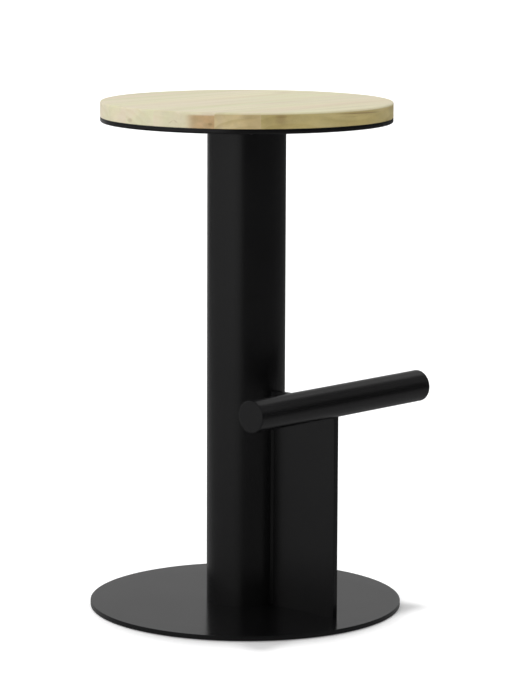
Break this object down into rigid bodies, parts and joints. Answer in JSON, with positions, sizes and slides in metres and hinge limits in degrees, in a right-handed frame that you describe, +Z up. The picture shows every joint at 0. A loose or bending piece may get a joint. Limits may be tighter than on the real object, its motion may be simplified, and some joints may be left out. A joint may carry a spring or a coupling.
{
  "type": "bar stool",
  "caption": "Counter-height stool: round wooden seat on a round steel column, flat round base plate, and a fixed footrest bar on an upright fin at one side.",
  "frame": {"origin": "on the floor, on the column's axis, at the centre of the base plate", "axes": "+Z up; +X along the footrest bar, to the right when the stool is seen from its front, looking along +Y; the footrest stands out towards -Y, the front"},
  "size_m": [0.3999, 0.4, 0.65],
  "materials": {
    "seat_wood": "clear matt lacquer on pale edge-glued staves",
    "powder_coat": "fine satin black powder coat",
    "black_steel": "black zinc-plated fasteners",
    "zinc_steel": "bright zinc plating",
    "bare_steel": "bare mild steel, out of sight",
    "glide_plastic": "matt black nylon"
  },
  "bodies": {
    "root": {"seat_stave_1": "seat_wood", "seat_stave_2": "seat_wood", "seat_stave_3": "seat_wood", "seat_stave_4": "seat_wood", "seat_stave_5": "seat_wood", "seat_stave_6": "seat_wood", "seat_stave_7": "seat_wood", "seat_stave_8": "seat_wood", "seat_stave_9": "seat_wood", "seat_inserts": "zinc_steel", "seat_screws": "black_steel", "seat_plate": "powder_coat", "column_tube": "powder_coat", "column_flange": "bare_steel", "base_plate": "powder_coat", "base_bolts": "black_steel", "base_glides": "glide_plastic", "footrest_fin": "powder_coat", "weld_beads": "powder_coat", "footrest_tube": "powder_coat", "footrest_end_cap_left": "powder_coat", "footrest_end_cap_right": "powder_coat"}
  },
  "joints": []
}
